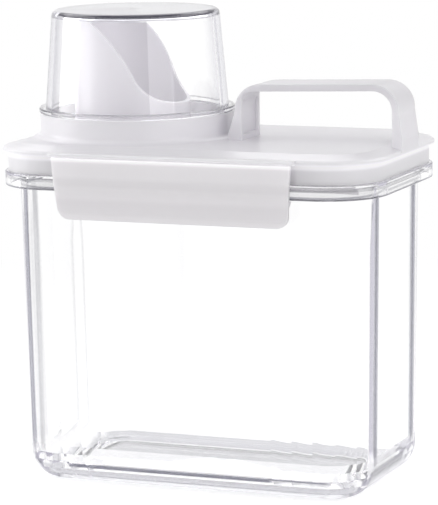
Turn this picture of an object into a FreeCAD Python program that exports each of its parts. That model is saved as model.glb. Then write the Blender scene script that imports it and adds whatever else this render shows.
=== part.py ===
"""Countertop dispenser for laundry detergent: a clear jar with fluted inner walls, a white lid
with a collar and a carrying strap, a pouring spout under a clear measuring cup, and a latch
flap on the front and the back of the lid.

Frame: millimetres, +Z up, origin on the ground at the middle of the base. The long side of the
jar runs along X, with the spout at -X and the handle at +X, and -Y is the front.
"""
import FreeCAD, Part
import math
import os
import re
import Sketcher

SIZES = {
    # jar: outside
    "base_length": 160.2,
    "base_width": 90.6,
    "base_corner": 19.0,
    "wall_draft": 0.93,
    "foot_radius": 13.0,
    # jar: rim and neck
    "rim_bottom": 132.0,
    "rim_height": 6.5,
    "rim_reach": 8.2,
    "rim_corner_growth": 6.7,
    "rim_roof": 1.9,
    "rim_wall": 2.1,
    "rim_groove_rise": 3.7,
    "rim_groove_height": 0.7,
    "rim_groove_depth": 0.5,
    "rim_edge": 0.6,
    "neck_height": 6.3,
    # jar: inside
    "wall": 2.5,
    "floor": 3.0,
    "floor_radius": 14.0,
    "floor_panel_rise": 0.7,
    "floor_panel_corner": 6.0,
    "plain_half_length": 40.0,
    "flutes_per_corner": 5,
    "flute_depth": 0.32,
    "flute_runout": 22.0,
    "gate_radius": 3.5,
    "gate_depth": 0.5,
    # lid: plate and skirt
    "lid_end_overhang": 0.7,
    "lid_side_overhang": 0.5,
    "lid_corner_inset": 0.2,
    "flange_drop": 0.2,
    "flange_thickness": 1.9,
    "lid_rise": 2.0,
    "lid_margin": 8.0,
    "lid_bevel": 0.8,
    "crown_radius": 3.0,
    "lid_plate": 2.2,
    "skirt_inset": 2.4,
    "skirt_wall": 2.2,
    "ceiling_band": 9.0,
    # lid: lip above each latch
    "lip_margin": 1.5,
    "lip_reach": 2.4,
    "lip_step": 0.1,
    "lip_edge": 0.8,
    # lid: collar round the spout
    "collar_radius": 43.2,
    "collar_margin": 7.0,
    "collar_wall": 2.0,
    "collar_height": 10.8,
    "collar_foot": 3.0,
    "collar_edge": 0.5,
    "tray_ledge": 4.7,
    # lid: carrying strap
    "strap_width": 22.0,
    "strap_rib_width": 2.6,
    "strap_rib_depth": 1.2,
    "strap_thickness": 3.0,
    "strap_gap": 7.8,
    "strap_left_rise": 24.4,
    "strap_left_turn_rise": 12.0,
    "strap_left_spread": 3.2,
    "strap_left_bend": 11.5,
    "strap_left_corner": 4.0,
    "strap_left_sink": 1.5,
    "strap_right_rise": 26.3,
    "strap_right_turn_rise": 13.5,
    "strap_right_spread": 1.6,
    "strap_right_bend": 11.5,
    "strap_right_sink": 3.0,
    "strap_spread_rise": 2.5,
    # gasket under the lid's plate
    "gasket_height": 2.5,
    "gasket_clearance": 0.6,
    "gasket_band": 4.6,
    # pouring spout
    "spout_offset": 2.2,
    "spout_radius": 25.7,
    "spout_wall": 1.6,
    "spout_clearance": 1.2,
    "lip_start": -10.0,
    "lip_turn": 10.5,
    "lip_turn_rise": 27.0,
    "lip_low_rise": 15.0,
    "lip_upper_arc": 55.9,
    "lip_lower_arc": 19.7,
    "tray_thickness": 1.6,
    "seat_clearance": 0.1,
    # measuring cup
    "cup_height": 45.0,
    "cup_ring_overhang": 0.4,
    "cup_ring_height": 2.2,
    "cup_clearance": 0.6,
    "cup_taper": 3.55,
    "cup_wall": 1.8,
    "cup_end_wall": 2.1,
    "cup_end_edge": 2.4,
    "cup_spigot": 4.2,
    "ring_edge": 0.7,
    # latch flaps
    "hinge_stand": 1.6,
    "hinge_gap": 0.2,
    "hinge_radius": 0.9,
    "latch_top_length": 110.0,
    "latch_bottom_length": 106.0,
    "latch_corner": 5.5,
    "latch_wall": 1.7,
    "latch_bend_rise": 6.0,
    "latch_waist_rise": 1.2,
    "latch_waist_stand": 1.9,
    "latch_belly_drop": 1.5,
    "latch_belly_stand": 1.7,
    "latch_tab_drop": 9.5,
    "latch_tab_stand": 0.6,
    "latch_drop": 12.0,
    "hook_overlap": 1.2,
    "hook_gap": 0.35,
    "hook_height": 0.9,
}

DERIVED = {
    # jar
    "rim_length": "base_length + 2 * rim_reach",
    "rim_width": "base_width + 2 * rim_reach",
    "rim_corner": "base_corner + rim_corner_growth",
    "rim_top": "rim_bottom + rim_height",
    "rim_groove_low": "rim_bottom + rim_groove_rise",
    "neck_top": "rim_top + neck_height",
    "flute_top": "rim_bottom - flute_runout",
    # lid
    "lid_length": "rim_length + 2 * lid_end_overhang",
    "lid_width": "rim_width + 2 * lid_side_overhang",
    "lid_corner": "rim_corner - lid_corner_inset",
    "lid_ceiling": "neck_top + gasket_height",
    "lid_edge_bottom": "lid_ceiling - flange_drop",
    "lid_edge_top": "lid_edge_bottom + flange_thickness",
    "lid_top": "lid_edge_top + lid_rise",
    "lip_length": "latch_top_length + 2 * lip_margin",
    "lip_top": "lid_edge_top - lip_step",
    "cup_axis": "collar_radius + collar_margin - lid_length / 2",
    "collar_top": "lid_top + collar_height",
    "opening_radius": "collar_radius - collar_wall - tray_ledge",
    "strap_left": "cup_axis + collar_radius + strap_gap",
    "strap_left_top": "lid_top + strap_left_rise",
    "strap_left_turn": "lid_top + strap_left_turn_rise",
    "strap_left_foot": "lid_top - strap_left_sink",
    "strap_right": "lid_length / 2 - strap_right_spread",
    "strap_right_top": "lid_top + strap_right_rise",
    "strap_right_turn": "lid_top + strap_right_turn_rise",
    "strap_right_foot": "lid_top - strap_right_sink",
    "strap_spread_low": "lid_top + strap_spread_rise",
    "gasket_length": "lid_length - 2 * (skirt_inset + skirt_wall + gasket_clearance)",
    "gasket_width": "lid_width - 2 * (skirt_inset + skirt_wall + gasket_clearance)",
    "gasket_corner": "lid_corner - skirt_inset - skirt_wall - gasket_clearance",
    # measuring cup and spout
    "cup_top": "collar_top + cup_height",
    "cup_ring_radius": "collar_radius + cup_ring_overhang",
    "cup_mouth_radius": "collar_radius - collar_wall - cup_clearance",
    "cup_end_radius": "cup_mouth_radius - cup_taper",
    "spout_axis": "cup_axis - spout_offset",
    "spout_top": "cup_top - cup_end_wall - spout_clearance",
    "lip_turn_height": "lid_top + lip_turn_rise",
    "lip_low": "lid_top + lip_low_rise",
    # latch flaps
    "hinge_reach": "lid_width / 2 + hinge_stand",
    "hinge_height": "lid_edge_bottom - hinge_gap - hinge_radius",
    "latch_bend_height": "rim_bottom + latch_bend_rise",
    "latch_waist_height": "rim_bottom + latch_waist_rise",
    "latch_waist_reach": "lid_width / 2 + latch_waist_stand",
    "latch_belly_height": "rim_bottom - latch_belly_drop",
    "latch_belly_reach": "lid_width / 2 + latch_belly_stand",
    "latch_tab_height": "rim_bottom - latch_tab_drop",
    "latch_tab_reach": "lid_width / 2 + latch_tab_stand",
    "latch_bottom": "rim_bottom - latch_drop",
    "hook_reach": "rim_width / 2 - hook_overlap",
}

doc = FreeCAD.newDocument("detergent_dispenser")
sheet = doc.addObject("Spreadsheet::Sheet", "Sizes")
for row, (alias, value) in enumerate(SIZES.items(), start=1):
    sheet.set(f"A{row}", alias)
    sheet.set(f"B{row}", str(value))
    sheet.setAlias(f"B{row}", alias)
doc.recompute()


def spell_out(expression):
    """The expression with each derived name replaced by what it stands for."""
    def replace(word):
        return "(" + spell_out(DERIVED[word[0]]) + ")" if word[0] in DERIVED else word[0]
    return re.sub(r"[a-z_]+", replace, expression)


def size(expression):
    """Value of an expression over the named sizes, such as "lid_top - lid_plate"."""
    return float(sheet.evalExpression(spell_out(expression)))


def bind(target, prop, expression):
    """Tie a property of an object to an expression over the named sizes."""
    linked = re.sub(r"[a-z_]+", lambda word: "Sizes." * (word[0] in SIZES) + word[0], spell_out(expression))
    target.setExpression(prop, linked)


# ---------------------------------------------------------------- sketches

def sketch_on(body, name, plane, **shift):
    """Empty sketch on one of the body's own origin planes, shifted along its x, y or z."""
    sketch = body.newObject("Sketcher::SketchObject", name)
    for feature in body.Origin.OriginFeatures:
        if feature.Role == plane:
            sketch.AttachmentSupport = [(feature, "")]
    sketch.MapMode = "FlatFace"
    for axis, expression in shift.items():
        bind(sketch, "AttachmentOffset.Base." + axis, expression)
    return sketch


def dimension(sketch, kind, places, expression):
    """Driving dimension tied to an expression."""
    index = sketch.addConstraint(Sketcher.Constraint(kind, *places, size(expression)))
    bind(sketch, f"Constraints[{index}]", expression)


def add_rounded_rectangle(sketch, length, width, corner):
    """Rounded rectangle centred on the sketch's origin."""
    reach_x = size(length) / 2 - size(corner)
    reach_y = size(width) / 2 - size(corner)
    middles = [(reach_x, -reach_y), (reach_x, reach_y), (-reach_x, reach_y), (-reach_x, -reach_y)]
    arcs = []
    for turn, (x, y) in enumerate(middles):
        circle = Part.Circle(FreeCAD.Vector(x, y, 0), FreeCAD.Vector(0, 0, 1), size(corner))
        start = (turn - 1) * math.pi / 2
        arcs.append(sketch.addGeometry(Part.ArcOfCircle(circle, start, start + math.pi / 2)))
    sides = []
    for this, following in zip(arcs, arcs[1:] + arcs[:1]):
        line = Part.LineSegment(sketch.getPoint(this, 2), sketch.getPoint(following, 1))
        sides.append(sketch.addGeometry(line))
        sketch.addConstraint(Sketcher.Constraint("Tangent", this, 2, sides[-1], 1))
        sketch.addConstraint(Sketcher.Constraint("Tangent", sides[-1], 2, following, 1))
    for side, direction in zip(sides, ["Vertical", "Horizontal", "Vertical", "Horizontal"]):
        sketch.addConstraint(Sketcher.Constraint(direction, side))
    for arc in arcs[1:]:
        sketch.addConstraint(Sketcher.Constraint("Equal", arcs[0], arc))
    sketch.addConstraint(Sketcher.Constraint("Symmetric", arcs[0], 3, arcs[2], 3, -1, 1))
    dimension(sketch, "Radius", (arcs[0],), corner)
    dimension(sketch, "DistanceX", (sides[2], 1, sides[0], 1), length)
    dimension(sketch, "DistanceY", (sides[3], 1, sides[1], 1), width)


def add_circle(sketch, radius, x="0"):
    """Circle with its centre on the sketch's x axis."""
    middle = FreeCAD.Vector(size(x), 0, 0)
    circle = sketch.addGeometry(Part.Circle(middle, FreeCAD.Vector(0, 0, 1), size(radius)))
    dimension(sketch, "DistanceX", (-1, 1, circle, 3), x)
    dimension(sketch, "DistanceY", (-1, 1, circle, 3), "0")
    dimension(sketch, "Radius", (circle,), radius)


def add_profile(sketch, corners):
    """Closed outline through corners (x, y) or (x, y, radius, "left" or "right").

    A corner with a radius is followed by an arc that turns that way; the others by a line.
    """
    spots = [FreeCAD.Vector(size(corner[0]), size(corner[1]), 0) for corner in corners]
    pieces = []
    for corner, start, end in zip(corners, spots, spots[1:] + spots[:1]):
        if len(corner) == 2:
            pieces.append((sketch.addGeometry(Part.LineSegment(start, end)), 1, 2))
            continue
        radius = size(corner[2])
        side = 1 if corner[3] == "left" else -1
        chord = end - start
        to_left = FreeCAD.Vector(-chord.y, chord.x, 0).normalize()
        to_middle = math.sqrt(max(radius ** 2 - chord.Length ** 2 / 4, 0))
        middle = (start + end) / 2 + to_left * side * to_middle
        circle = Part.Circle(middle, FreeCAD.Vector(0, 0, 1), radius)
        low, high = (start, end) if side == 1 else (end, start)
        arc = Part.ArcOfCircle(circle, circle.parameter(low), circle.parameter(high))
        geometry = sketch.addGeometry(arc)
        pieces.append((geometry, 1, 2) if side == 1 else (geometry, 2, 1))
        dimension(sketch, "Radius", (geometry,), corner[2])
    for (this, _, end), (following, start, _) in zip(pieces, pieces[1:] + pieces[:1]):
        sketch.addConstraint(Sketcher.Constraint("Coincident", this, end, following, start))
    for (geometry, start, _), corner in zip(pieces, corners):
        dimension(sketch, "DistanceX", (-1, 1, geometry, start), corner[0])
        dimension(sketch, "DistanceY", (-1, 1, geometry, start), corner[1])


# ---------------------------------------------------------------- features

def pad(body, name, sketch, length, taper=None, symmetric=False):
    """Raise a sketch along its normal, or to both sides of it."""
    feature = body.newObject("PartDesign::Pad", name)
    feature.Profile = sketch
    bind(feature, "Length", length)
    if symmetric:
        feature.SideType = "Symmetric"
    if taper:
        bind(feature, "TaperAngle", taper)
    doc.recompute()
    return feature


def pocket(body, name, sketch, depth, upward=False, symmetric=False):
    """Cut a sketch down into the solid, up from below, or to both sides."""
    before = body.Shape.Volume
    feature = body.newObject("PartDesign::Pocket", name)
    feature.Profile = sketch
    feature.Reversed = upward
    bind(feature, "Length", depth)
    if symmetric:
        feature.SideType = "Symmetric"
    doc.recompute()
    if body.Shape.Volume > before - 1:
        raise RuntimeError(name + " cuts nothing")
    return feature


def revolve(body, name, sketch):
    """Turn a profile a full turn about the sketch's vertical axis."""
    feature = body.newObject("PartDesign::Revolution", name)
    feature.Profile = sketch
    feature.ReferenceAxis = (sketch, ["V_Axis"])
    feature.Angle = 360
    doc.recompute()
    return feature


def soften(body, name, radius, is_edge):
    """Round the edges of the body's tip that the test picks."""
    base = body.Tip
    edges = enumerate(base.Shape.Edges, start=1)
    names = [f"Edge{number}" for number, edge in edges if is_edge(edge)]
    feature = body.newObject("PartDesign::Fillet", name)
    feature.Base = (base, names)
    bind(feature, "Radius", radius)
    doc.recompute()
    if not names or not feature.isValid():
        raise RuntimeError(f"{name} could not be rounded on {len(names)} edges")
    return feature


def at_height(z, tolerance=0.01):
    """Test for edges that lie flat at one height."""
    return lambda edge: abs(edge.BoundBox.ZMin - z) < tolerance and abs(edge.BoundBox.ZMax - z) < tolerance


def outside(test, half_length):
    """The same test, kept to edges that reach beyond a distance from the middle along X or Y."""
    return lambda edge: test(edge) and max(abs(edge.BoundBox.XMin), abs(edge.BoundBox.XMax)) > half_length


# ---------------------------------------------------------------- jar

FLOOR_STEPS = 6
FAINT = 0.01


def cavity_outline(inset, z, depth):
    """Section of the jar's cavity, with flutes along the long walls' ends and round the corners."""
    lean = z * math.tan(math.radians(SIZES["wall_draft"])) - SIZES["wall"] - inset
    half_length = SIZES["base_length"] / 2 + lean
    half_width = SIZES["base_width"] / 2 + lean
    corner = SIZES["base_corner"] + lean
    plain = SIZES["plain_half_length"]
    straight = half_length - corner - plain

    def place(travel, outward):
        """Point this far along the wall towards the +X end, moved outward from the wall."""
        if travel <= straight:
            return FreeCAD.Vector(plain + travel, -half_width - outward, z)
        angle = (travel - straight) / corner
        reach = corner + outward
        x = half_length - corner + reach * math.sin(angle)
        return FreeCAD.Vector(x, -half_width + corner - reach * math.cos(angle), z)

    pitch = (straight + corner * math.pi / 2) / SIZES["flutes_per_corner"]
    flutes = []
    for flute in range(SIZES["flutes_per_corner"]):
        crest = place((flute + 0.5) * pitch, depth)
        flutes.append([place(flute * pitch, 0), crest, place((flute + 1) * pitch, 0)])

    def mirrored(points, turn_x, turn_y):
        return [FreeCAD.Vector(point.x * turn_x, point.y * turn_y, z) for point in points]

    edges = []
    for turn in (1, -1):
        going = [mirrored(flute, turn, turn) for flute in flutes]
        coming = [mirrored(flute[::-1], turn, -turn) for flute in reversed(flutes)]
        end_wall = Part.LineSegment(going[-1][-1], coming[0][0])
        across = mirrored(going[0][:1], -1, -1)[0]
        long_wall = Part.LineSegment(coming[-1][-1], across)
        edges += [Part.Arc(*points).toShape() for points in going]
        edges.append(end_wall.toShape())
        edges += [Part.Arc(*points).toShape() for points in coming]
        edges.append(long_wall.toShape())
    return Part.Wire(edges)


def make_floor_panel():
    """Raised flat panel that the jar's floor keeps inside its rounded foot."""
    body = doc.addObject("PartDesign::Body", "floor_panel")
    outline = sketch_on(body, "panel_outline", "XY_Plane")
    inset = "2 * (wall + floor_radius)"
    add_rounded_rectangle(outline, "base_length - " + inset, "base_width - " + inset, "floor_panel_corner")
    pad(body, "panel", outline, "floor + floor_panel_rise")
    return body


def make_cavity():
    """Inside of the jar, from the rounded foot out through the neck, where the flutes run out."""
    radius = SIZES["floor_radius"]
    depth = SIZES["flute_depth"]
    sections = []
    for step in range(FLOOR_STEPS + 1):
        angle = math.pi / 2 * step / FLOOR_STEPS
        inset = radius * (1 - math.sin(angle))
        height = SIZES["floor"] + radius * (1 - math.cos(angle))
        sections.append(cavity_outline(inset, height, depth))
    sections.append(cavity_outline(0, size("flute_top"), depth))
    sections.append(cavity_outline(0, SIZES["rim_bottom"], depth * FAINT))
    sections.append(cavity_outline(0, size("neck_top") + SIZES["floor"], depth * FAINT))
    space = doc.addObject("Part::Feature", "jar_space")
    space.Shape = Part.makeLoft(sections, True, True)
    cavity = doc.addObject("Part::Cut", "jar_cavity")
    cavity.Base = space
    cavity.Tool = make_floor_panel()
    return cavity


def make_jar():
    body = doc.addObject("PartDesign::Body", "jar_blank")
    base = sketch_on(body, "base_outline", "XY_Plane")
    add_rounded_rectangle(base, "base_length", "base_width", "base_corner")
    pad(body, "walls", base, "neck_top", taper="wall_draft")
    soften(body, "foot", "foot_radius", at_height(0))

    roof = sketch_on(body, "rim_outline", "XY_Plane", z="rim_top - rim_roof")
    add_rounded_rectangle(roof, "rim_length", "rim_width", "rim_corner")
    pad(body, "rim_top_plate", roof, "rim_roof")
    ring = sketch_on(body, "rim_wall_outline", "XY_Plane", z="rim_bottom")
    add_rounded_rectangle(ring, "rim_length", "rim_width", "rim_corner")
    add_rounded_rectangle(ring, "rim_length - 2 * rim_wall", "rim_width - 2 * rim_wall",
                          "rim_corner - rim_wall")
    pad(body, "rim_side", ring, "rim_top - rim_roof - rim_bottom")
    soften(body, "rim_lower_edge", "rim_edge", at_height(size("rim_bottom")))
    soften(body, "rim_upper_edge", "rim_edge",
           outside(at_height(size("rim_top")), size("rim_length / 2 - rim_wall")))

    groove = sketch_on(body, "groove_outline", "XY_Plane", z="rim_groove_low + rim_groove_height")
    add_rounded_rectangle(groove, "rim_length + 2 * rim_wall", "rim_width + 2 * rim_wall",
                          "rim_corner + rim_wall")
    add_rounded_rectangle(groove, "rim_length - 2 * rim_groove_depth", "rim_width - 2 * rim_groove_depth",
                          "rim_corner - rim_groove_depth")
    pocket(body, "rim_groove", groove, "rim_groove_height")

    gate = sketch_on(body, "gate_outline", "XY_Plane")
    add_circle(gate, "gate_radius")
    pocket(body, "gate_recess", gate, "gate_depth", upward=True)

    jar = doc.addObject("Part::Cut", "container")
    jar.Base = body
    jar.Tool = make_cavity()
    return jar


# ---------------------------------------------------------------- lid

def make_lid():
    body = doc.addObject("PartDesign::Body", "lid")
    skirt_length = "lid_length - 2 * skirt_inset"
    skirt_width = "lid_width - 2 * skirt_inset"
    skirt_corner = "lid_corner - skirt_inset"

    edge = sketch_on(body, "edge_outline", "XY_Plane", z="lid_edge_bottom")
    add_rounded_rectangle(edge, "lid_length", "lid_width", "lid_corner")
    pad(body, "edge", edge, "lid_edge_top - lid_bevel - lid_edge_bottom")
    bevel = sketch_on(body, "bevel_outline", "XY_Plane", z="lid_edge_top - lid_bevel")
    add_rounded_rectangle(bevel, "lid_length", "lid_width", "lid_corner")
    pad(body, "bevel", bevel, "lid_bevel", taper="-45")
    crown = sketch_on(body, "crown_outline", "XY_Plane", z="lid_edge_top")
    add_rounded_rectangle(crown, "lid_length - 2 * lid_bevel", "lid_width - 2 * lid_bevel",
                          "lid_corner - lid_bevel")
    pad(body, "crown", crown, "lid_top - lid_edge_top",
        taper="-atan((lid_margin - lid_bevel) / (lid_top - lid_edge_top))")
    soften(body, "crown_blend", "crown_radius", at_height(size("lid_top")))
    lips = sketch_on(body, "lip_section", "YZ_Plane")
    for side, turn in (("-", "right"), ("", "left")):
        add_profile(lips, [
            (f"{side}(lid_width / 2 - lip_edge)", "lid_edge_bottom"),
            (f"{side}(lid_width / 2 + lip_reach - lip_edge)", "lid_edge_bottom", "lip_edge", turn),
            (f"{side}(lid_width / 2 + lip_reach)", "lid_edge_bottom + lip_edge"),
            (f"{side}(lid_width / 2 + lip_reach)", "lip_top - lip_edge", "lip_edge", turn),
            (f"{side}(lid_width / 2 + lip_reach - lip_edge)", "lip_top"),
            (f"{side}(lid_width / 2 - lip_edge)", "lid_edge_top"),
        ])
    pad(body, "latch_lips", lips, "lip_length", symmetric=True)

    skirt = sketch_on(body, "skirt_outline", "XY_Plane", z="rim_top")
    add_rounded_rectangle(skirt, skirt_length, skirt_width, skirt_corner)
    pad(body, "skirt", skirt, "lid_edge_bottom - rim_top")
    hollow = sketch_on(body, "hollow_outline", "XY_Plane", z="rim_top")
    add_rounded_rectangle(hollow, skirt_length + " - 2 * skirt_wall", skirt_width + " - 2 * skirt_wall",
                          skirt_corner + " - skirt_wall")
    pocket(body, "hollow", hollow, "lid_ceiling - rim_top", upward=True)
    inner = skirt_length + " - 2 * (skirt_wall + ceiling_band)"
    ceiling = sketch_on(body, "ceiling_outline", "XY_Plane", z="lid_ceiling")
    add_rounded_rectangle(ceiling, inner, skirt_width + " - 2 * (skirt_wall + ceiling_band)",
                          skirt_corner + " - skirt_wall - ceiling_band")
    pocket(body, "ceiling", ceiling, "lid_top - lid_plate - lid_ceiling", upward=True)

    collar = sketch_on(body, "collar_section", "XZ_Plane", x="cup_axis")
    add_profile(collar, [
        ("collar_radius - collar_wall", "lid_top - lid_plate"),
        ("collar_radius + collar_foot", "lid_top - lid_plate"),
        ("collar_radius + collar_foot", "lid_top", "collar_foot", "right"),
        ("collar_radius", "lid_top + collar_foot"),
        ("collar_radius", "collar_top"),
        ("collar_radius - collar_wall", "collar_top"),
    ])
    revolve(body, "collar", collar)
    soften(body, "collar_edges", "collar_edge", at_height(size("collar_top")))
    opening = sketch_on(body, "opening_outline", "XY_Plane", z="lid_top")
    add_circle(opening, "opening_radius", x="cup_axis")
    pocket(body, "spout_opening", opening, "lid_plate")

    strap = sketch_on(body, "strap_section", "XZ_Plane")
    add_profile(strap, [
        ("strap_left - strap_left_spread", "strap_left_foot"),
        ("strap_left + strap_thickness", "strap_left_foot"),
        ("strap_left + strap_thickness", "strap_left_top - strap_thickness"),
        ("strap_right - strap_thickness", "strap_right_top - strap_thickness"),
        ("strap_right - strap_thickness", "strap_right_foot"),
        ("strap_right + strap_right_spread", "strap_right_foot"),
        ("strap_right + strap_right_spread", "strap_spread_low"),
        ("strap_right", "strap_right_turn"),
        ("strap_right", "strap_right_top"),
        ("strap_left", "strap_left_top"),
        ("strap_left", "strap_left_turn"),
        ("strap_left - strap_left_spread", "strap_spread_low"),
    ])
    pad(body, "strap", strap, "strap_width", symmetric=True)
    soften(body, "strap_left_inner_bend", "strap_left_corner",
           corner_at("strap_left + strap_thickness", "strap_left_top - strap_thickness"))
    soften(body, "strap_right_inner_bend", "strap_right_bend - strap_thickness",
           corner_at("strap_right - strap_thickness", "strap_right_top - strap_thickness"))
    soften(body, "strap_left_outer_bend", "strap_left_bend", corner_at("strap_left", "strap_left_top"))
    soften(body, "strap_right_outer_bend", "strap_right_bend", corner_at("strap_right", "strap_right_top"))

    web = "(strap_thickness - strap_rib_depth)"
    rise = "(strap_right_top - strap_left_top) / (strap_right - strap_left)"
    channel = sketch_on(body, "strap_channel_section", "XZ_Plane")
    add_profile(channel, [
        (f"strap_left + {web}", "strap_spread_low"),
        (f"strap_left + {web}", "strap_left_top - strap_left_bend", f"strap_left_bend - {web}", "right"),
        ("strap_left + strap_left_bend", f"strap_left_top - {web} + strap_left_bend * {rise}"),
        ("strap_right - strap_right_bend", f"strap_right_top - {web} - strap_right_bend * {rise}",
         f"strap_right_bend - {web}", "right"),
        (f"strap_right - {web}", "strap_right_top - strap_right_bend"),
        (f"strap_right - {web}", "strap_spread_low"),
    ])
    pocket(body, "strap_channel", channel, "strap_width - 2 * strap_rib_width", symmetric=True)
    return body


def corner_at(x, z):
    """Test for edges that run along Y through one place."""
    return lambda edge: (abs(edge.BoundBox.Center.x - size(x)) < 0.01
                         and abs(edge.BoundBox.Center.z - size(z)) < 0.01
                         and edge.BoundBox.YLength > SIZES["strap_width"] / 2)


def make_gasket():
    body = doc.addObject("PartDesign::Body", "lid_gasket")
    ring = sketch_on(body, "gasket_outline", "XY_Plane", z="neck_top")
    add_rounded_rectangle(ring, "gasket_length", "gasket_width", "gasket_corner")
    add_rounded_rectangle(ring, "gasket_length - 2 * gasket_band", "gasket_width - 2 * gasket_band",
                          "gasket_corner - gasket_band")
    pad(body, "band", ring, "lid_ceiling - neck_top")
    return body


# ---------------------------------------------------------------- spout and cup

def make_spout():
    body = doc.addObject("PartDesign::Body", "pour_spout")
    tray = sketch_on(body, "tray_outline", "XY_Plane", z="lid_top")
    add_circle(tray, "collar_radius - collar_wall - seat_clearance", x="cup_axis")
    pad(body, "tray", tray, "tray_thickness")
    tube = sketch_on(body, "tube_outline", "XY_Plane", z="lid_top")
    add_circle(tube, "spout_radius", x="spout_axis")
    pad(body, "tube", tube, "spout_top - lid_top")
    bore = sketch_on(body, "bore_outline", "XY_Plane", z="spout_top")
    add_circle(bore, "spout_radius - spout_wall", x="spout_axis")
    pocket(body, "bore", bore, "spout_top - lid_top")
    scoop = sketch_on(body, "scoop_outline", "XZ_Plane", x="spout_axis")
    add_profile(scoop, [
        ("lip_start", "spout_top", "lip_upper_arc", "right"),
        ("lip_turn", "lip_turn_height", "lip_lower_arc", "left"),
        ("spout_radius", "lip_low"),
        ("spout_radius + spout_wall", "lip_low"),
        ("spout_radius + spout_wall", "spout_top + spout_wall"),
        ("lip_start", "spout_top + spout_wall"),
    ])
    pocket(body, "scoop", scoop, "2 * spout_radius + spout_wall", symmetric=True)
    return body


def make_cup():
    body = doc.addObject("PartDesign::Body", "measuring_cup")
    section = sketch_on(body, "cup_section", "XZ_Plane", x="cup_axis")
    add_profile(section, [
        ("cup_mouth_radius - cup_wall", "collar_top - cup_spigot"),
        ("cup_mouth_radius", "collar_top - cup_spigot"),
        ("cup_mouth_radius", "collar_top"),
        ("cup_ring_radius", "collar_top"),
        ("cup_ring_radius", "collar_top + cup_ring_height"),
        ("cup_mouth_radius", "collar_top + cup_ring_height"),
        ("cup_end_radius", "cup_top"),
        ("0", "cup_top"),
        ("0", "cup_top - cup_end_wall"),
        ("cup_end_radius - cup_wall", "cup_top - cup_end_wall"),
    ])
    revolve(body, "cup", section)
    soften(body, "end_edge", "cup_end_edge", at_height(size("cup_top")))
    soften(body, "end_corner", "cup_end_edge / 2", at_height(size("cup_top - cup_end_wall")))
    ring_width = 2 * size("cup_ring_radius")
    soften(body, "ring_edge", "ring_edge",
           lambda edge: edge.BoundBox.XLength > ring_width - 0.1 and edge.BoundBox.ZLength < 0.01)
    return body


# ---------------------------------------------------------------- latches

def make_latches():
    """Front flap, and the back one as its mirror image."""
    section = doc.addObject("PartDesign::Body", "latch_section")
    profile = sketch_on(section, "flap_profile", "YZ_Plane")
    front = "-({})".format
    add_profile(profile, [
        (front("hinge_reach + hinge_radius"), "hinge_height"),
        (front("hinge_reach + hinge_radius"), "latch_bend_height"),
        (front("latch_waist_reach"), "latch_waist_height"),
        (front("latch_belly_reach"), "latch_belly_height"),
        (front("latch_tab_reach"), "latch_tab_height"),
        (front("latch_tab_reach"), "latch_bottom"),
        (front("latch_tab_reach - latch_wall"), "latch_bottom"),
        (front("latch_tab_reach - latch_wall"), "latch_tab_height"),
        (front("latch_belly_reach - latch_wall"), "latch_belly_height - 2 * hook_height"),
        (front("hook_reach"), "rim_bottom - hook_gap - hook_height"),
        (front("hook_reach"), "rim_bottom - hook_gap"),
        (front("latch_waist_reach - latch_wall"), "rim_bottom - hook_gap"),
        (front("latch_waist_reach - latch_wall"), "latch_waist_height"),
        (front("hinge_reach - hinge_radius"), "latch_bend_height"),
        (front("hinge_reach - hinge_radius"), "hinge_height", "hinge_radius", "left"),
    ])
    pad(section, "flap", profile, "latch_top_length", symmetric=True)

    face = doc.addObject("PartDesign::Body", "latch_face")
    outline = sketch_on(face, "flap_outline", "XZ_Plane")
    add_profile(outline, [
        ("-latch_bottom_length / 2", "latch_bottom"),
        ("latch_bottom_length / 2", "latch_bottom"),
        ("latch_top_length / 2", "hinge_height + hinge_radius"),
        ("-latch_top_length / 2", "hinge_height + hinge_radius"),
    ])
    pad(face, "flap_face", outline, "2 * lid_width", symmetric=True)
    soften(face, "flap_corners", "latch_corner", lambda edge: edge.BoundBox.YLength > size("lid_width")
           and edge.BoundBox.ZMax < size("latch_tab_height"))

    front_latch = doc.addObject("Part::Common", "front_latch")
    front_latch.Base = section
    front_latch.Tool = face
    back_latch = doc.addObject("Part::Mirroring", "back_latch")
    back_latch.Source = front_latch
    back_latch.Normal = FreeCAD.Vector(0, 1, 0)
    return [front_latch, back_latch]


# ---------------------------------------------------------------- build and check

parts = [make_jar(), make_lid(), make_gasket(), make_spout(), make_cup()] + make_latches()
doc.recompute()

for item in doc.Objects:
    if "Invalid" in item.State or "Error" in item.State:
        raise RuntimeError(f"{item.Label} did not compute")
for part in parts:
    if part.Shape.isNull() or not part.Shape.isValid() or len(part.Shape.Solids) != 1:
        raise RuntimeError(f"{part.Label} is not one valid solid")

os.makedirs("parts", exist_ok=True)
for part in parts:
    part.Shape.exportStep(f"parts/{part.Label}.step")
    print(f"{part.Label}: {part.Shape.Volume / 1000:.2f} cm3")
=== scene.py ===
"""Looks for a clear laundry detergent dispenser with a white clip-on lid and a measuring cup."""

import math

import bpy
from mathutils import Matrix, Vector

bl_info = {
    "name": "Detergent Dispenser Looks",
    "version": (1, 0, 0),
    "blender": (4, 5, 0),
    "location": "View3D > Sidebar > Dispenser",
    "description": "Dresses a detergent dispenser with clear and white plastics on a white stage",
    "category": "Object",
}

# Heights and plan sizes of the jar, in metres; an outline is half length, half width, corner radius.
RIM_BOTTOM = 0.132
PANEL_TOP = 0.0042
PANEL_OUTLINE = (0.0635, 0.028, 0.006)
FOOT_OUTLINE = (0.067, 0.0325, 0.009)
CUP_END = 0.2040
CUP_AXIS = -0.0388

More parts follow.
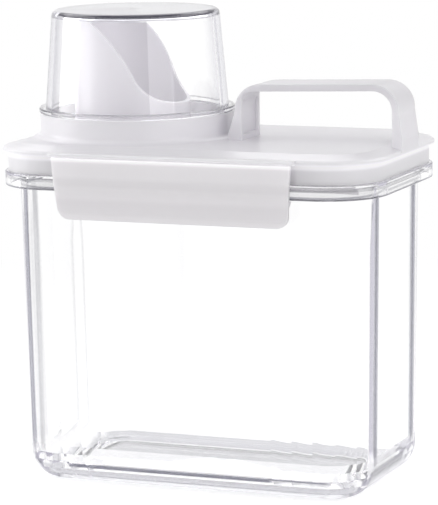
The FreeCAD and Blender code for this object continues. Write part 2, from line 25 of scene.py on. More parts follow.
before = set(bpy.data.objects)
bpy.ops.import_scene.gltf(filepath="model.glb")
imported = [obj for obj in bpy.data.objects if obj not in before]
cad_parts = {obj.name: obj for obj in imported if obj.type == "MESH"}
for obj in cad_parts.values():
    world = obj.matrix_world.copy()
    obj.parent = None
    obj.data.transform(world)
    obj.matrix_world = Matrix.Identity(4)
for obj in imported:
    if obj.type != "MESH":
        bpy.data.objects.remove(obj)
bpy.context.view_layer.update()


# ---------------------------------------------------------------- settings

class StageSettings(bpy.types.PropertyGroup):
    """Floor, lamps and camera."""

    azimuth: bpy.props.FloatProperty(
        name="Azimuth", description="Turn of the camera from the front towards the strap end",
        default=math.radians(22.54), subtype="ANGLE")
    elevation: bpy.props.FloatProperty(
        name="Elevation", description="Height angle of the camera",
        default=math.radians(9.23), subtype="ANGLE")
    roll: bpy.props.FloatProperty(
        name="Roll", description="Tilt of the camera about its line of sight",
        default=math.radians(-0.96), subtype="ANGLE")
    distance: bpy.props.FloatProperty(
        name="Distance", description="From the aim point to the camera",
        default=1.3236, unit="LENGTH")
    aim: bpy.props.FloatVectorProperty(
        name="Aim", description="Point that the camera looks at",
        default=(-0.0008, 0.0, 0.09924), subtype="TRANSLATION")
    lens: bpy.props.FloatProperty(
        name="Lens", description="Focal length for a sensor 36 mm wide",
        default=245.6, unit="CAMERA")
    sky_level: bpy.props.FloatProperty(
        name="Sky level", description="Strength of the even light all round",
        default=0.62, min=0)
    sheen_level: bpy.props.FloatProperty(
        name="Sheen level", description="Extra strength of the raised band of sky in gloss",
        default=2.5, min=0)
    floor_lift: bpy.props.FloatProperty(
        name="Floor lift", description="Glow that keeps the floor white where it is seen",
        default=0.4, min=0)
    deep_shade: bpy.props.FloatVectorProperty(
        name="Deep shade", description="What is left of the white stage after many turns in clear plastic",
        default=(0.07, 0.07, 0.10), subtype="COLOR", size=3)


class PlasticSettings(bpy.types.PropertyGroup):
    """Colours and surfaces of the plastics."""

    white: bpy.props.FloatVectorProperty(
        name="Lid white", description="Satin white of the lid",
        default=(0.79, 0.775, 0.81), subtype="COLOR", size=3)
    latch: bpy.props.FloatVectorProperty(
        name="Latch white", description="White of the latch flaps",
        default=(0.87, 0.84, 0.875), subtype="COLOR", size=3)
    # The spout's white is set darker than the lid's: painted shade for the spout sitting under the clear
    # cup and inside the collar.
    spout: bpy.props.FloatVectorProperty(
        name="Spout white", description="Satin white of the pouring spout",
        default=(0.60, 0.585, 0.62), subtype="COLOR", size=3)
    gasket: bpy.props.FloatVectorProperty(
        name="Gasket", description="Milky silicone of the lid's gasket",
        default=(0.66, 0.66, 0.68), subtype="COLOR", size=3)
    # Painted shade: the grey that clear plastic is given where it is seen edge on.
    clear_edge_painted_shade: bpy.props.FloatVectorProperty(
        name="Clear edge", description="Tint of clear plastic that is seen edge on",
        default=(0.45, 0.44, 0.52), subtype="COLOR", size=3)
    clear_tint: bpy.props.FloatVectorProperty(
        name="Clear tint", description="What the clear plastic keeps of light over a long way through it",
        default=(0.62, 0.60, 0.68), subtype="COLOR", size=3)
    clear_density: bpy.props.FloatProperty(
        name="Clear density", description="How fast the tint builds up, per metre", default=7.0, min=0)
    # Panel, ledge, step, foot and line shades are painted shade on the clear jar: the grey and the dark
    # lines that its floor, foot, corners and rim show through the curved walls.
    panel_shade: bpy.props.FloatVectorProperty(
        name="Panel shade", description="Faint grey of the jar's floor panel",
        default=(0.90, 0.90, 0.92), subtype="COLOR", size=3)
    ledge_shade: bpy.props.FloatVectorProperty(
        name="Ledge shade", description="Grey of the far side of the jar's floor panel",
        default=(0.62, 0.62, 0.64), subtype="COLOR", size=3)
    step_shade: bpy.props.FloatVectorProperty(
        name="Step shade", description="Dark line of the step round the floor panel",
        default=(0.05, 0.05, 0.06), subtype="COLOR", size=3)
    foot_shade: bpy.props.FloatVectorProperty(
        name="Foot shade", description="Grey of the thick curve round the jar's foot",
        default=(0.47, 0.47, 0.50), subtype="COLOR", size=3)
    line_shade: bpy.props.FloatVectorProperty(
        name="Line shade", description="Dark lines of the jar's corners, rim and front foot",
        default=(0.17, 0.17, 0.22), subtype="COLOR", size=3)
    # Cup end shade is painted shade on the cup's thick end; the gate shade is the cup's own gate mark.
    cup_end_shade: bpy.props.FloatVectorProperty(
        name="Cup end shade", description="Grey of the cup's thick end",
        default=(0.70, 0.695, 0.73), subtype="COLOR", size=3)
    gate_shade: bpy.props.FloatVectorProperty(
        name="Gate shade", description="Gate mark in the middle of the cup's end",
        default=(0.62, 0.62, 0.65), subtype="COLOR", size=3)
    jar_glow: bpy.props.FloatVectorProperty(
        name="Jar glow", description="Light that runs on inside the jar's walls",
        default=(0.70, 0.69, 0.76), subtype="COLOR", size=3)
    cup_glow: bpy.props.FloatVectorProperty(
        name="Cup glow", description="Light that runs on inside the cup's walls",
        default=(0.07, 0.065, 0.10), subtype="COLOR", size=3)
    light_depth: bpy.props.FloatProperty(
        name="Light depth", description="How far light spreads inside the white plastic",
        default=0.006, unit="LENGTH", min=0)


# ---------------------------------------------------------------- node helpers

def new_material(name):
    """Material with an empty node tree and its output node."""
    material = bpy.data.materials.new(name)
    material.use_nodes = True
    nodes = material.node_tree.nodes
    nodes.clear()
    output = nodes.new("ShaderNodeOutputMaterial")
    return material, nodes, material.node_tree.links, output


def new_group(name, inputs, outputs):
    """Shader node group with float or colour sockets and its two end nodes."""
    group = bpy.data.node_groups.new(name, "ShaderNodeTree")
    for socket, value in inputs.items():
        kind = "NodeSocketFloat" if isinstance(value, float) else "NodeSocketColor"
        group.interface.new_socket(socket, in_out="INPUT", socket_type=kind).default_value = value
    for socket, kind in outputs.items():
        group.interface.new_socket(socket, in_out="OUTPUT", socket_type=kind)
    start = group.nodes.new("NodeGroupInput")
    end = group.nodes.new("NodeGroupOutput")
    return group, group.nodes, group.links, start, end


def noise(nodes, links, place, scale, detail):
    """Noise over Object coordinates, centred on one half."""
    texture = nodes.new("ShaderNodeTexNoise")
    texture.inputs["Scale"].default_value = scale
    texture.inputs["Detail"].default_value = detail
    links.new(place, texture.inputs["Vector"])
    return texture.outputs["Fac"]


def spread(nodes, links, value, middle, amount):
    """The middle value, moved up and down by the amount as the noise runs from 0 to 1."""
    centred = nodes.new("ShaderNodeMath")
    centred.operation = "SUBTRACT"
    centred.inputs[1].default_value = 0.5
    links.new(value, centred.inputs[0])
    moved = nodes.new("ShaderNodeMath")
    moved.operation = "MULTIPLY_ADD"
    links.new(centred.outputs["Value"], moved.inputs[0])
    for socket, source in ((moved.inputs[1], amount), (moved.inputs[2], middle)):
        if isinstance(source, float):
            socket.default_value = source
        else:
            links.new(source, socket)
    return moved.outputs["Value"]


def arithmetic(nodes, links, operation, *values):
    """Result of a Math node over numbers and sockets."""
    node = nodes.new("ShaderNodeMath")
    node.operation = operation
    for socket, value in zip(node.inputs, values):
        if isinstance(value, (int, float)):
            socket.default_value = value
        else:
            links.new(value, socket)
    return node.outputs["Value"]


def ramp(nodes, links, value, low, high):
    """Soft step from 0 at low to 1 at high, or back where high is under low."""
    node = nodes.new("ShaderNodeMapRange")
    node.interpolation_type = "SMOOTHSTEP"
    node.inputs["From Min"].default_value = min(low, high)
    node.inputs["From Max"].default_value = max(low, high)
    node.inputs["To Min"].default_value = 0 if low < high else 1
    node.inputs["To Max"].default_value = 1 if low < high else 0
    links.new(value, node.inputs["Value"])
    return node.outputs["Result"]


def blend(nodes, links, factor, first, second):
    """Colour between two colours or sockets."""
    node = nodes.new("ShaderNodeMix")
    node.data_type = "RGBA"
    links.new(factor, node.inputs["Factor"])
    for socket, source in ((node.inputs["A"], first), (node.inputs["B"], second)):
        if isinstance(source, bpy.types.NodeSocket):
            links.new(source, socket)
        else:
            socket.default_value = (*source, 1)
    return node.outputs["Result"]


def moulded_surface_group():
    """Surface of injection-moulded plastic: cloudy shade, patchy gloss and a fine spark-eroded grain."""
    group, nodes, links, start, end = new_group(
        "moulded_surface",
        {"Color": (0.8, 0.8, 0.8, 1.0), "Cloud": 0.04, "Roughness": 0.35, "Patch": 0.08},
        {"Color": "NodeSocketColor", "Roughness": "NodeSocketFloat", "Height": "NodeSocketFloat"})
    place = nodes.new("ShaderNodeTexCoord").outputs["Object"]
    cloud = noise(nodes, links, place, 28.0, 3.0)
    patch = noise(nodes, links, place, 90.0, 4.0)
    grain = noise(nodes, links, place, 2600.0, 2.0)
    shade = nodes.new("ShaderNodeHueSaturation")
    links.new(spread(nodes, links, cloud, 1.0, start.outputs["Cloud"]), shade.inputs["Value"])
    links.new(start.outputs["Color"], shade.inputs["Color"])
    links.new(shade.outputs["Color"], end.inputs["Color"])
    links.new(spread(nodes, links, patch, start.outputs["Roughness"], start.outputs["Patch"]),
              end.inputs["Roughness"])
    height = nodes.new("ShaderNodeMath")
    height.operation = "MULTIPLY_ADD"
    height.inputs[1].default_value = 0.25
    links.new(grain, height.inputs[0])
    links.new(patch, height.inputs[2])
    links.new(height.outputs["Value"], end.inputs["Height"])
    return group


def clear_waves_group():
    """Faint flow waves and gloss changes of clear moulded plastic."""
    group, nodes, links, start, end = new_group(
        "clear_waves", {"Roughness": 0.01},
        {"Roughness": "NodeSocketFloat", "Height": "NodeSocketFloat"})
    place = nodes.new("ShaderNodeTexCoord").outputs["Object"]
    stretch = nodes.new("ShaderNodeMapping")
    stretch.inputs["Scale"].default_value = (1, 1, 0.18)
    links.new(place, stretch.inputs["Vector"])
    waves = noise(nodes, links, stretch.outputs["Vector"], 45.0, 1.0)
    haze = noise(nodes, links, place, 120.0, 3.0)
    links.new(waves, end.inputs["Height"])
    links.new(spread(nodes, links, haze, start.outputs["Roughness"], 0.01), end.inputs["Roughness"])
    return group


def place_group(nodes, group, **values):
    """A group's node with its own values."""
    node = nodes.new("ShaderNodeGroup")
    node.node_tree = group
    for name, value in values.items():
        node.inputs[name].default_value = value
    return node


def height_bands_group(name, low, high, stops):
    """Value that changes with the height over the base, between soft stops: painted shade where it darkens
    a colour, painted light where it drives an emission.
    """
    group, nodes, links, start, end = new_group(name, {}, {"Shade": "NodeSocketColor"})
    split = nodes.new("ShaderNodeSeparateXYZ")
    links.new(nodes.new("ShaderNodeTexCoord").outputs["Object"], split.inputs["Vector"])
    reach = nodes.new("ShaderNodeMapRange")
    reach.inputs["From Min"].default_value = low
    reach.inputs["From Max"].default_value = high
    links.new(split.outputs["Z"], reach.inputs["Value"])
    shades = nodes.new("ShaderNodeValToRGB")
    shades.color_ramp.interpolation = "EASE"
    points = shades.color_ramp.elements
    while len(points) < len(stops):
        points.new(0.5)
    for point, (height, shade) in zip(points, stops):
        point.position = (height - low) / (high - low)
        point.color = (shade, shade, shade, 1)
    links.new(reach.outputs["Result"], shades.inputs["Fac"])
    links.new(shades.outputs["Color"], end.inputs["Shade"])
    return group


def white_plastic(name, colour, settings, roughness, glow_through, bands=None, glow=None):
    """Milky satin plastic that light enters a little way, with painted shade bands and painted light laid
    over it by height where they are given.
    """
    material, nodes, links, output = new_material(name)
    surface = place_group(nodes, bpy.data.node_groups["moulded_surface"],
                          Color=(*colour, 1), Roughness=roughness)
    relief = nodes.new("ShaderNodeBump")
    relief.inputs["Strength"].default_value = 0.12
    relief.inputs["Distance"].default_value = 0.0003
    links.new(surface.outputs["Height"], relief.inputs["Height"])
    shader = nodes.new("ShaderNodeBsdfPrincipled")
    shader.inputs["Subsurface Weight"].default_value = glow_through
    shader.inputs["Subsurface Radius"].default_value = (1.0, 0.96, 1.0)
    shader.inputs["Subsurface Scale"].default_value = settings.light_depth
    shade = surface.outputs["Color"]
    # Painted shade: the height bands darken the colour.
    if bands:
        tone = nodes.new("ShaderNodeMix")
        tone.data_type = "RGBA"
        tone.blend_type = "MULTIPLY"
        tone.inputs["Factor"].default_value = 1
        links.new(shade, tone.inputs["A"])
        links.new(place_group(nodes, bands).outputs["Shade"], tone.inputs["B"])
        shade = tone.outputs["Result"]
    # Painted light: the glow mask drives an emission.
    if glow:
        links.new(place_group(nodes, glow).outputs["Shade"], shader.inputs["Emission Color"])
        shader.inputs["Emission Strength"].default_value = 0.2
    links.new(shade, shader.inputs["Base Color"])
    links.new(surface.outputs["Roughness"], shader.inputs["Roughness"])
    links.new(relief.outputs["Normal"], shader.inputs["Normal"])
    links.new(shader.outputs["BSDF"], output.inputs["Surface"])
    return material


def rounded_distance(nodes, links, split, half_length, half_width, corner):
    """Distance out from a rounded rectangle in plan, less than 0 inside it."""
    past = []
    for axis, half in (("X", half_length), ("Y", half_width)):
        away = arithmetic(nodes, links, "ABSOLUTE", split.outputs[axis])
        past.append(arithmetic(nodes, links, "SUBTRACT", away, half - corner))
    outside = [arithmetic(nodes, links, "POWER", arithmetic(nodes, links, "MAXIMUM", value, 0), 2)
               for value in past]
    length = arithmetic(nodes, links, "SQRT", arithmetic(nodes, links, "ADD", *outside))
    inside = arithmetic(nodes, links, "MINIMUM", arithmetic(nodes, links, "MAXIMUM", *past), 0)
    return arithmetic(nodes, links, "SUBTRACT", arithmetic(nodes, links, "ADD", length, inside), corner)


def band(nodes, links, value, middle, reach):
    """1 close to the middle value, softly down to 0 at the reach."""
    away = arithmetic(nodes, links, "ABSOLUTE", arithmetic(nodes, links, "SUBTRACT", value, middle))
    return ramp(nodes, links, away, reach, 0.5 * reach)


def jar_painted_shade_group():
    """Painted shade on the clear jar: its floor panel, the panel's step, the foot curve and the dark lines
    of its corners, rim and front foot, standing for how these show through the walls.
    """
    names = ("Step", "Panel", "Ledge", "Foot", "Lines")
    group, nodes, links, start, end = new_group("jar_painted_shade", {}, dict.fromkeys(names, "NodeSocketFloat"))
    split = nodes.new("ShaderNodeSeparateXYZ")
    links.new(nodes.new("ShaderNodeTexCoord").outputs["Object"], split.inputs["Vector"])
    along, across, height = (split.outputs[axis] for axis in "XYZ")

    def calc(operation, *values):
        return arithmetic(nodes, links, operation, *values)

    def rise(value, low, high):
        return ramp(nodes, links, value, low, high)

    def line(value, middle, reach):
        return band(nodes, links, value, middle, reach)

    # Painted shade on the floor: the step line round the panel, mostly at its back, the grey ledge at its
    # far side, the panel's faint grey and the grey round the foot.
    low = calc("LESS_THAN", height, PANEL_TOP)
    out_of_panel = rounded_distance(nodes, links, split, *PANEL_OUTLINE)
    behind = calc("GREATER_THAN", across, -0.015)
    edge = calc("MULTIPLY", line(out_of_panel, 0, 0.0022), 0.9)
    step = calc("MULTIPLY", edge, behind)
    ledge = calc("MULTIPLY", rise(out_of_panel, 0.0, -0.0005), rise(across, 0.006, 0.010))
    panel = rise(out_of_panel, 0.0, -0.001)
    out_of_foot = rounded_distance(nodes, links, split, *FOOT_OUTLINE)
    foot = calc("MULTIPLY", rise(out_of_foot, 0.0016, 0.0028), rise(calc("ABSOLUTE", along), 0.078, 0.072))
    for name, mark in (("Step", step), ("Ledge", ledge), ("Panel", panel), ("Foot", foot)):
        links.new(calc("MULTIPLY", mark, low), end.inputs[name])

    # Painted shade lines up the walls, at the corners of the ends and near the left front corner.
    right_end = calc("GREATER_THAN", along, 0.076)
    left_end = calc("LESS_THAN", along, -0.076)
    ends = calc("MULTIPLY_ADD", left_end, 0.2, right_end)
    end_lines = calc("MULTIPLY", line(calc("ABSOLUTE", across), 0.0240, 0.0030), ends)
    front = calc("LESS_THAN", across, -0.036)
    inner = calc("MULTIPLY", line(along, -0.0683, 0.0018), 0.4)
    front_lines = calc("MULTIPLY", calc("MAXIMUM", line(along, -0.0745, 0.0021), inner), front)
    tall = calc("MULTIPLY", rise(height, 0.008, 0.02), rise(height, RIM_BOTTOM, RIM_BOTTOM - 0.001))
    upright = calc("MULTIPLY", calc("MAXIMUM", end_lines, front_lines), tall)

    # Painted shade lines along the rim's underside and its groove.
    under = calc("MULTIPLY", line(height, RIM_BOTTOM + 0.0003, 0.0006), 0.7)
    groove = calc("MULTIPLY", line(height, RIM_BOTTOM + 0.0041, 0.0006), 0.3)
    rim = calc("MAXIMUM", under, groove)

    # Painted shade line along the front foot, where the panel's front edge shows through the curved foot.
    span = calc("MULTIPLY", rise(along, -0.056, -0.055), rise(along, 0.040, 0.039))
    strong = calc("MULTIPLY", line(height, 0.0088, 0.0011), span)
    beside = calc("MULTIPLY", rise(along, 0.038, 0.039), rise(along, 0.068, 0.064))
    thin = calc("MULTIPLY", line(height, 0.0094, 0.0005), beside)
    foot_line = calc("MULTIPLY", calc("MAXIMUM", strong, thin), front)
    links.new(calc("MAXIMUM", upright, calc("MAXIMUM", rim, foot_line)), end.inputs["Lines"])
    return group


def cup_painted_shade_and_gate_group():
    """Painted shade on the cup's thick end, and the gate mark in the middle of it."""
    names = ("End", "Gate")
    group, nodes, links, start, end = new_group("cup_painted_shade_and_gate", {}, dict.fromkeys(names, "NodeSocketFloat"))
    split = nodes.new("ShaderNodeSeparateXYZ")
    links.new(nodes.new("ShaderNodeTexCoord").outputs["Object"], split.inputs["Vector"])
    # Painted shade over the cup's thick end.
    top = ramp(nodes, links, split.outputs["Z"], CUP_END, CUP_END + 0.0005)
    links.new(top, end.inputs["End"])
    aside = arithmetic(nodes, links, "SUBTRACT", split.outputs["X"], CUP_AXIS)
    radius = arithmetic(nodes, links, "SQRT", arithmetic(
        nodes, links, "ADD", arithmetic(nodes, links, "POWER", aside, 2),
        arithmetic(nodes, links, "POWER", split.outputs["Y"], 2)))
    spot = ramp(nodes, links, radius, 0.0034, 0.0022)
    links.new(arithmetic(nodes, links, "MULTIPLY", spot, top), end.inputs["Gate"])
    return group


def clear_plastic(name, settings, painted_shade_and_marks, shades, trapped_light, edge_start):
    """Clear plastic that greys with painted shade where it is seen edge on, takes the painted shades and
    marks of its group, and casts no hard shadow.
    """
    material, nodes, links, output = new_material(name)
    surface = place_group(nodes, bpy.data.node_groups["clear_waves"], Roughness=0.008)
    relief = nodes.new("ShaderNodeBump")
    relief.inputs["Strength"].default_value = 0.05
    relief.inputs["Distance"].default_value = 0.0005
    links.new(surface.outputs["Height"], relief.inputs["Height"])
    facing = nodes.new("ShaderNodeLayerWeight")
    facing.inputs["Blend"].default_value = 0.5
    shape = nodes.new("ShaderNodeNewGeometry")
    normal = nodes.new("ShaderNodeSeparateXYZ")
    links.new(shape.outputs["Normal"], normal.inputs["Vector"])
    side = arithmetic(nodes, links, "MULTIPLY_ADD", shape.outputs["Backfacing"], -2, 1)
    upward = arithmetic(nodes, links, "MULTIPLY", normal.outputs["Z"], side)
    grazing = ramp(nodes, links, facing.outputs["Facing"], edge_start, 0.97)
    edge = arithmetic(nodes, links, "MULTIPLY", grazing, ramp(nodes, links, upward, 0.95, 0.7))
    colour = blend(nodes, links, edge, (1, 1, 1), settings.clear_edge_painted_shade)
    painted_shade_and_marks_node = place_group(nodes, painted_shade_and_marks)
    # Each painted shade and mark multiplies the colour where its mask is high.
    for mark, shade in shades.items():
        tone = nodes.new("ShaderNodeMix")
        tone.data_type = "RGBA"
        tone.blend_type = "MULTIPLY"
        links.new(painted_shade_and_marks_node.outputs[mark], tone.inputs["Factor"])
        links.new(colour, tone.inputs["A"])
        tone.inputs["B"].default_value = (*shade, 1)
        colour = tone.outputs["Result"]
    shader = nodes.new("ShaderNodeBsdfPrincipled")
    shader.inputs["IOR"].default_value = 1.5
    shader.inputs["Transmission Weight"].default_value = 1.0
    links.new(colour, shader.inputs["Base Color"])
    links.new(surface.outputs["Roughness"], shader.inputs["Roughness"])
    links.new(relief.outputs["Normal"], shader.inputs["Normal"])
    through = nodes.new("ShaderNodeBsdfTransparent")
    path = nodes.new("ShaderNodeLightPath")
    mix = nodes.new("ShaderNodeMixShader")
    links.new(path.outputs["Is Shadow Ray"], mix.inputs["Fac"])
    links.new(shader.outputs["BSDF"], mix.inputs[1])
    links.new(through.outputs["BSDF"], mix.inputs[2])
    trapped = nodes.new("ShaderNodeEmission")
    trapped.inputs["Color"].default_value = (*trapped_light, 1)
    last = nodes.new("ShaderNodeMixShader")
    links.new(ramp(nodes, links, path.outputs["Ray Depth"], 12, 16), last.inputs["Fac"])
    links.new(mix.outputs["Shader"], last.inputs[1])
    links.new(trapped.outputs["Emission"], last.inputs[2])
    links.new(last.outputs["Shader"], output.inputs["Surface"])
    absorb = nodes.new("ShaderNodeVolumeAbsorption")
    absorb.inputs["Color"].default_value = (*settings.clear_tint, 1)
    absorb.inputs["Density"].default_value = settings.clear_density
    links.new(absorb.outputs["Volume"], output.inputs["Volume"])
    return material


def outward_from(azimuth, elevation):
    """Direction from the object, turned from the front towards the strap end and raised."""
    return Vector((math.sin(azimuth) * math.cos(elevation), -math.cos(azimuth) * math.cos(elevation),
                   math.sin(elevation)))


def dress(node, material):
    """Give a CAD node its material."""
    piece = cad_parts[node]
    piece.data.materials.clear()
    piece.data.materials.append(material)
    return piece


# ---------------------------------------------------------------- operators

class DISPENSER_OT_clear_parts(bpy.types.Operator):
    """Finish the jar and the measuring cup in clear plastic."""

    bl_idname = "dispenser.clear_parts"
    bl_label = "Clear parts"

    def execute(self, context):
        clear_waves_group()
        settings = context.scene.dispenser_plastic
        jar_shades = {
            "Step": settings.step_shade, "Panel": settings.panel_shade, "Ledge": settings.ledge_shade,
            "Foot": settings.foot_shade, "Lines": settings.line_shade}
        dress("container", clear_plastic("jar_plastic", settings, jar_painted_shade_group(), jar_shades,
                                         settings.jar_glow, 0.68))
        cup_shades = {"End": settings.cup_end_shade, "Gate": settings.gate_shade}
        dress("measuring_cup", clear_plastic("cup_plastic", settings, cup_painted_shade_and_gate_group(), cup_shades,
                                             settings.cup_glow, 0.35))
        return {"FINISHED"}


class DISPENSER_OT_white_parts(bpy.types.Operator):
    """Finish the lid, spout and latches in satin plastic."""

    bl_idname = "dispenser.white_parts"
    bl_label = "White parts"

    def execute(self, context):
        settings = context.scene.dispenser_plastic
        moulded_surface_group()
        # Painted shade: the lid's strap darkens towards its top.
        strap = height_bands_group("strap_shade", 0.10, 0.20, [
            (0.150, 1.0), (0.163, 1.0), (0.172, 0.88), (0.1760, 0.87), (0.1774, 0.78)])
        # Painted light: emission round the lower edge of the lid's lip, lifting the shade in the gap above
        # the latches.
        lip = height_bands_group(
            "lip_painted_light", 0.10, 0.20, [(0.144, 0.0), (0.1455, 1.0), (0.1468, 1.0), (0.1480, 0.0)])
        dress("lid", white_plastic("lid_plastic", settings.white, settings, 0.33, 0.6, strap, lip))
        dress("pour_spout", white_plastic("spout_plastic", settings.spout, settings, 0.34, 0.6))
        # Painted shade: light and dark bands across the latch face, for how light falls on its gently
        # waved profile.
        bands = height_bands_group("latch_painted_shade_bands", 0.115, 0.150, [
            (0.1193, 0.88), (0.1203, 0.96), (0.1216, 0.95), (0.1235, 0.90), (0.1275, 0.885),
            (0.1315, 0.96), (0.1336, 0.965), (0.1357, 0.915), (0.1370, 0.915), (0.1397, 1.0)])
        # Painted light: emission along the latch's rounded top, lifting the shade of the hinge gap under
        # the lid's lip.
        top = height_bands_group("latch_top_painted_light", 0.115, 0.150, [(0.1445, 0.0), (0.1462, 1.0)])
        latch = white_plastic("latch_plastic", settings.latch, settings, 0.36, 0.5, bands, top)
        for node in ("front_latch", "back_latch"):
            dress(node, latch)
        dress("lid_gasket", white_plastic("silicone", settings.gasket, settings, 0.5, 0.8))
        return {"FINISHED"}


class DISPENSER_OT_stage(bpy.types.Operator):
    """Set out the white floor, the lamps and the camera."""

    bl_idname = "dispenser.stage"
    bl_label = "Stage"

    def execute(self, context):
        settings = context.scene.dispenser_stage
        self.floor(settings)
        self.sky(context.scene, settings)
        self.lamp("key_lamp", -75, 12, 19.8)
        self.lamp("fill_lamp", 55, 12, 6.6)
        self.lamp("side_lamp", 85, 15, 2.9)
        self.lamp("top_lamp", 0, 88, 2.8)
        self.camera(context.scene, settings)
        context.scene.view_settings.view_transform = "Standard"
        context.scene.cycles.max_bounces = 32
        context.scene.cycles.transmission_bounces = 32
        context.scene.cycles.glossy_bounces = 16
        context.scene.cycles.sample_clamp_indirect = 2
        return {"FINISHED"}

    def floor(self, settings):
        """Wide white floor that keeps the object's shadow and runs out to plain white."""
        bpy.ops.mesh.primitive_plane_add(size=12, location=(0, 0, 0))
        floor = bpy.context.active_object
        floor.name = "floor"
        material, nodes, links, output = new_material("stage_white")
        place = nodes.new("ShaderNodeTexCoord").outputs["Object"]
        diffuse = nodes.new("ShaderNodeBsdfDiffuse")
        diffuse.inputs["Color"].default_value = (0.9, 0.9, 0.9, 1)
        glow = nodes.new("ShaderNodeEmission")
        glow.inputs["Strength"].default_value = settings.floor_lift
        seen = self.seen_rays(nodes, links)
        off = nodes.new("ShaderNodeEmission")
        off.inputs["Strength"].default_value = 0
        pick = nodes.new("ShaderNodeMixShader")
        links.new(seen, pick.inputs["Fac"])
        links.new(off.outputs["Emission"], pick.inputs[1])
        links.new(glow.outputs["Emission"], pick.inputs[2])
        both = nodes.new("ShaderNodeAddShader")
        links.new(diffuse.outputs["BSDF"], both.inputs[0])
        links.new(pick.outputs["Shader"], both.inputs[1])
        length = nodes.new("ShaderNodeVectorMath")
        length.operation = "LENGTH"
        links.new(place, length.inputs[0])
        distance = ramp(nodes, links, length.outputs["Value"], 0.2, 0.6)
        far = arithmetic(nodes, links, "MULTIPLY", distance, seen)
        plain = nodes.new("ShaderNodeEmission")
        links.new(self.past_the_walls(nodes, links, 1.0), plain.inputs["Strength"])
        away = nodes.new("ShaderNodeMixShader")
        links.new(far, away.inputs["Fac"])
        links.new(both.outputs["Shader"], away.inputs[1])
        links.new(plain.outputs["Emission"], away.inputs[2])
        dark = nodes.new("ShaderNodeEmission")
        dark.inputs["Color"].default_value = (*settings.deep_shade, 1)
        deep = nodes.new("ShaderNodeMixShader")
        links.new(self.turns(nodes, links), deep.inputs["Fac"])
        links.new(away.outputs["Shader"], deep.inputs[1])
        links.new(dark.outputs["Emission"], deep.inputs[2])
        links.new(deep.outputs["Shader"], output.inputs["Surface"])
        floor.data.materials.append(material)

    def seen_rays(self, nodes, links):
        """1 for rays that show the stage: straight, reflected or through clear plastic."""
        path = nodes.new("ShaderNodeLightPath")
        direct = arithmetic(nodes, links, "MAXIMUM",
                            path.outputs["Is Camera Ray"], path.outputs["Is Glossy Ray"])
        return arithmetic(nodes, links, "MAXIMUM", direct, path.outputs["Is Transmission Ray"])

    def turns(self, nodes, links):
        """0 for rays that cross the jar's four faces or fewer, 1 for rays that turned many times more."""
        path = nodes.new("ShaderNodeLightPath")
        steps = ramp(nodes, links, path.outputs["Ray Depth"], 4.4, 10)
        clear = arithmetic(nodes, links, "MULTIPLY", steps, path.outputs["Is Transmission Ray"])
        return arithmetic(nodes, links, "MULTIPLY", clear, self.never_scattered(nodes, links))

    def never_scattered(self, nodes, links):
        """1 for rays that met no dull surface on their way from the camera."""
        path = nodes.new("ShaderNodeLightPath")
        return arithmetic(nodes, links, "LESS_THAN", path.outputs["Diffuse Depth"], 0.5)

    def sideways(self, nodes, links, direction, settings):
        """1 for rays that leave the clear plastic towards the dark sides of the stage."""
        path = nodes.new("ShaderNodeLightPath")
        along = nodes.new("ShaderNodeVectorMath")
        along.operation = "DOT_PRODUCT"
        along.inputs[1].default_value = (math.sin(settings.azimuth), -math.cos(settings.azimuth), 0)
        links.new(direction, along.inputs[0])
        side = ramp(nodes, links, arithmetic(nodes, links, "ABSOLUTE", along.outputs["Value"]), 0.85, 0.45)
        straight = arithmetic(nodes, links, "COMPARE", path.outputs["Ray Depth"], 4, 0.5)
        bent = arithmetic(nodes, links, "SUBTRACT", path.outputs["Is Transmission Ray"], straight)
        dark = arithmetic(nodes, links, "MULTIPLY", side, arithmetic(nodes, links, "MAXIMUM", bent, 0))
        return arithmetic(nodes, links, "MULTIPLY", dark, self.never_scattered(nodes, links))

    def past_the_walls(self, nodes, links, value):
        """The value, raised by what clear walls lose to reflection where it is seen through them."""
        path = nodes.new("ShaderNodeLightPath")
        return arithmetic(nodes, links, "MULTIPLY_ADD", path.outputs["Is Transmission Ray"], 0.07, value)

    def sky(self, scene, settings):
        """Even light all round, seen as white, with a bright raised band in gloss alone."""
        world = bpy.data.worlds.new("stage_sky")
        world.use_nodes = True
        nodes, links = world.node_tree.nodes, world.node_tree.links
        nodes.clear()
        output = nodes.new("ShaderNodeOutputWorld")
        light = nodes.new("ShaderNodeBackground")
        light.inputs["Color"].default_value = (1, 1, 1, 1)
        light.inputs["Strength"].default_value = settings.sky_level
        white = nodes.new("ShaderNodeBackground")
        mix = nodes.new("ShaderNodeMixShader")
        direction = nodes.new("ShaderNodeTexCoord").outputs["Generated"]
        dim = arithmetic(nodes, links, "MAXIMUM", self.turns(nodes, links),
                         self.sideways(nodes, links, direction, settings))
        links.new(blend(nodes, links, dim, (1, 1, 1), settings.deep_shade), white.inputs["Color"])
        split = nodes.new("ShaderNodeSeparateXYZ")
        links.new(direction, split.inputs["Vector"])
        raised = arithmetic(nodes, links, "MULTIPLY", ramp(nodes, links, split.outputs["Z"], 0.42, 0.58),
                            ramp(nodes, links, split.outputs["Z"], 0.9, 0.75))
        gloss = nodes.new("ShaderNodeLightPath").outputs["Is Glossy Ray"]
        sheen = arithmetic(nodes, links, "MULTIPLY", raised, gloss)
        level = arithmetic(nodes, links, "MULTIPLY_ADD", sheen, settings.sheen_level, 1.0)
        links.new(self.past_the_walls(nodes, links, level), white.inputs["Strength"])
        links.new(self.seen_rays(nodes, links), mix.inputs["Fac"])
        links.new(light.outputs["Background"], mix.inputs[1])
        links.new(white.outputs["Background"], mix.inputs[2])
        links.new(mix.outputs["Shader"], output.inputs["Surface"])
        scene.world = world

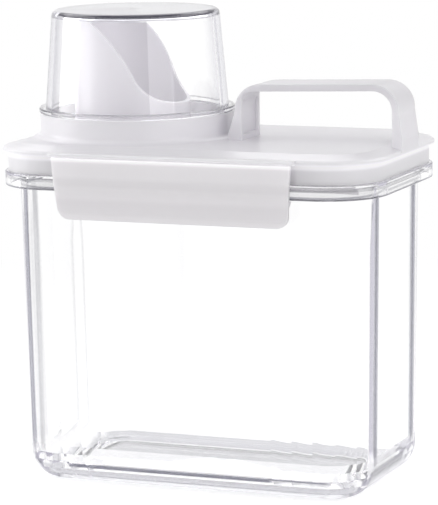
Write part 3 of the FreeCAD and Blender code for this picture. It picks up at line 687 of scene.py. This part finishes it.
    def lamp(self, name, azimuth, elevation, power):
        """Square softbox that faces the middle of the object from two metres away."""
        outward = outward_from(math.radians(azimuth), math.radians(elevation))
        data = bpy.data.lights.new(name, "AREA")
        data.shape = "SQUARE"
        data.size = 1.2
        data.energy = power
        lamp = bpy.data.objects.new(name, data)
        lamp.location = Vector((0, 0, 0.1)) + 2 * outward
        lamp.rotation_euler = outward.to_track_quat("Z", "Y").to_euler()
        bpy.context.scene.collection.objects.link(lamp)

    def camera(self, scene, settings):
        """Camera that looks at the aim point, slightly rolled."""
        data = bpy.data.cameras.new("camera")
        data.sensor_fit = "HORIZONTAL"
        data.sensor_width = 36
        data.lens = settings.lens
        data.clip_end = 50
        outward = outward_from(settings.azimuth, settings.elevation)
        side = Vector((0, 0, 1)).cross(outward).normalized()
        above = outward.cross(side)
        turned_side = side * math.cos(settings.roll) + above * math.sin(settings.roll)
        turned_above = above * math.cos(settings.roll) - side * math.sin(settings.roll)
        turn = Matrix((turned_side, turned_above, outward)).transposed().to_4x4()
        camera = bpy.data.objects.new("camera", data)
        camera.matrix_world = Matrix.Translation(Vector(settings.aim) + outward * settings.distance) @ turn
        scene.collection.objects.link(camera)
        scene.camera = camera


class DISPENSER_PT_panel(bpy.types.Panel):
    """Steps that dress the dispenser."""

    bl_label = "Dispenser"
    bl_space_type = "VIEW_3D"
    bl_region_type = "UI"
    bl_category = "Dispenser"

    def draw(self, context):
        for step in STEPS:
            self.layout.operator("dispenser." + step)


STEPS = ["clear_parts", "white_parts", "stage"]
CLASSES = [StageSettings, PlasticSettings, DISPENSER_OT_clear_parts, DISPENSER_OT_white_parts,
           DISPENSER_OT_stage, DISPENSER_PT_panel]


def register():
    for cls in CLASSES:
        bpy.utils.register_class(cls)
    bpy.types.Scene.dispenser_stage = bpy.props.PointerProperty(type=StageSettings)
    bpy.types.Scene.dispenser_plastic = bpy.props.PointerProperty(type=PlasticSettings)


def unregister():
    del bpy.types.Scene.dispenser_plastic
    del bpy.types.Scene.dispenser_stage
    for cls in reversed(CLASSES):
        bpy.utils.unregister_class(cls)


def main():
    register()
    for step in STEPS:
        getattr(bpy.ops.dispenser, step)()


if __name__ == "__main__":
    main()
